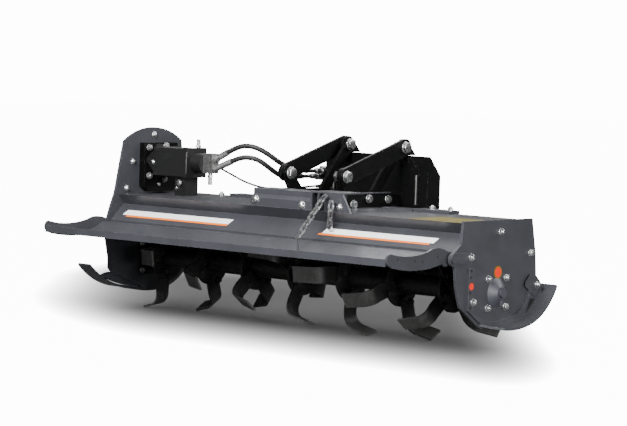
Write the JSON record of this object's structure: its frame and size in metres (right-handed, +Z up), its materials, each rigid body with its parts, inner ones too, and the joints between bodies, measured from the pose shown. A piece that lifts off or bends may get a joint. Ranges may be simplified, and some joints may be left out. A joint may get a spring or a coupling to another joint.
{
  "type": "rotary tiller",
  "caption": "Wide soil tiller with a tined rotor under a folded hood, hinged tailboard on chains, side skids, hydraulic drive and a quick coupling plate.",
  "frame": {"origin": "middle of the machine's footprint, at the height it stands on", "axes": "+X along the rotor, from the drive side to the idle side; +Y towards the carrier; +Z up"},
  "size_m": [1.776, 0.988, 0.6852],
  "materials": {
    "grey_paint": "glossy dark blue-grey paint",
    "black_paint": "satin black paint",
    "rotor_black": "black paint worn to bare steel at the blades",
    "zinc_steel": "bright zinc plate",
    "hose_rubber": "smooth black rubber"
  },
  "bodies": {
    "frame": {"bearing_cover": "grey_paint", "bearing_left": "grey_paint", "bearing_right": "grey_paint", "chain_bracket": "grey_paint", "chain_case": "grey_paint", "chain_hold": "zinc_steel", "chain_spare": "zinc_steel", "coupler_holder": "black_paint", "couplers": "zinc_steel", "coupling_plate": "black_paint", "deck_box": "grey_paint", "deck_rails": "grey_paint", "fitting_down": "zinc_steel", "fitting_up": "zinc_steel", "hinge_pin_left": "grey_paint", "hinge_pin_right": "grey_paint", "hitch_brace_left": "black_paint", "hitch_brace_right": "black_paint", "hitch_bracket_left": "black_paint", "hitch_bracket_right": "black_paint", "hitch_lug_left": "black_paint", "hitch_lug_right": "black_paint", "hitch_pin_low_left": "zinc_steel", "hitch_pin_low_right": "zinc_steel", "hitch_pin_top_left": "zinc_steel", "hitch_pin_top_right": "zinc_steel", "hood": "grey_paint", "hose_drain": "hose_rubber", "hose_ends": "zinc_steel", "hose_lower": "hose_rubber", "hose_upper": "hose_rubber", "hydraulic_motor": "black_paint", "lift_link_left": "black_paint", "lift_link_right": "black_paint", "motor_adapter": "black_paint", "motor_foot": "black_paint", "motor_housing": "black_paint", "motor_mount": "black_paint", "port_block": "zinc_steel", "side_plate_left": "grey_paint", "side_plate_right": "grey_paint", "skid_left": "grey_paint", "skid_right": "grey_paint"},
    "rotor": {"rotor_shaft": "rotor_black", "tine_ring_1": "rotor_black", "tine_ring_2": "rotor_black", "tine_ring_3": "rotor_black", "tine_ring_4": "rotor_black", "tine_ring_5": "rotor_black", "tine_ring_6": "rotor_black", "tine_ring_7": "rotor_black"},
    "tail": {"tail_end_left": "grey_paint", "tail_end_right": "grey_paint", "tailboard": "grey_paint"}
  },
  "joints": [
    {"name": "rotor_spin", "type": "hinge", "parent": "frame", "child": "rotor", "pos_m": [0, 0.06802, 0.19621], "axis": [1, 0, 0], "continuous": true},
    {"name": "tailboard_hinge", "type": "hinge", "parent": "frame", "child": "tail", "pos_m": [0, -0.17398, 0.32321], "axis": [-1, 0, 0], "range_deg": [0, 40], "deforming": ["chain_hold"]}
  ]
}
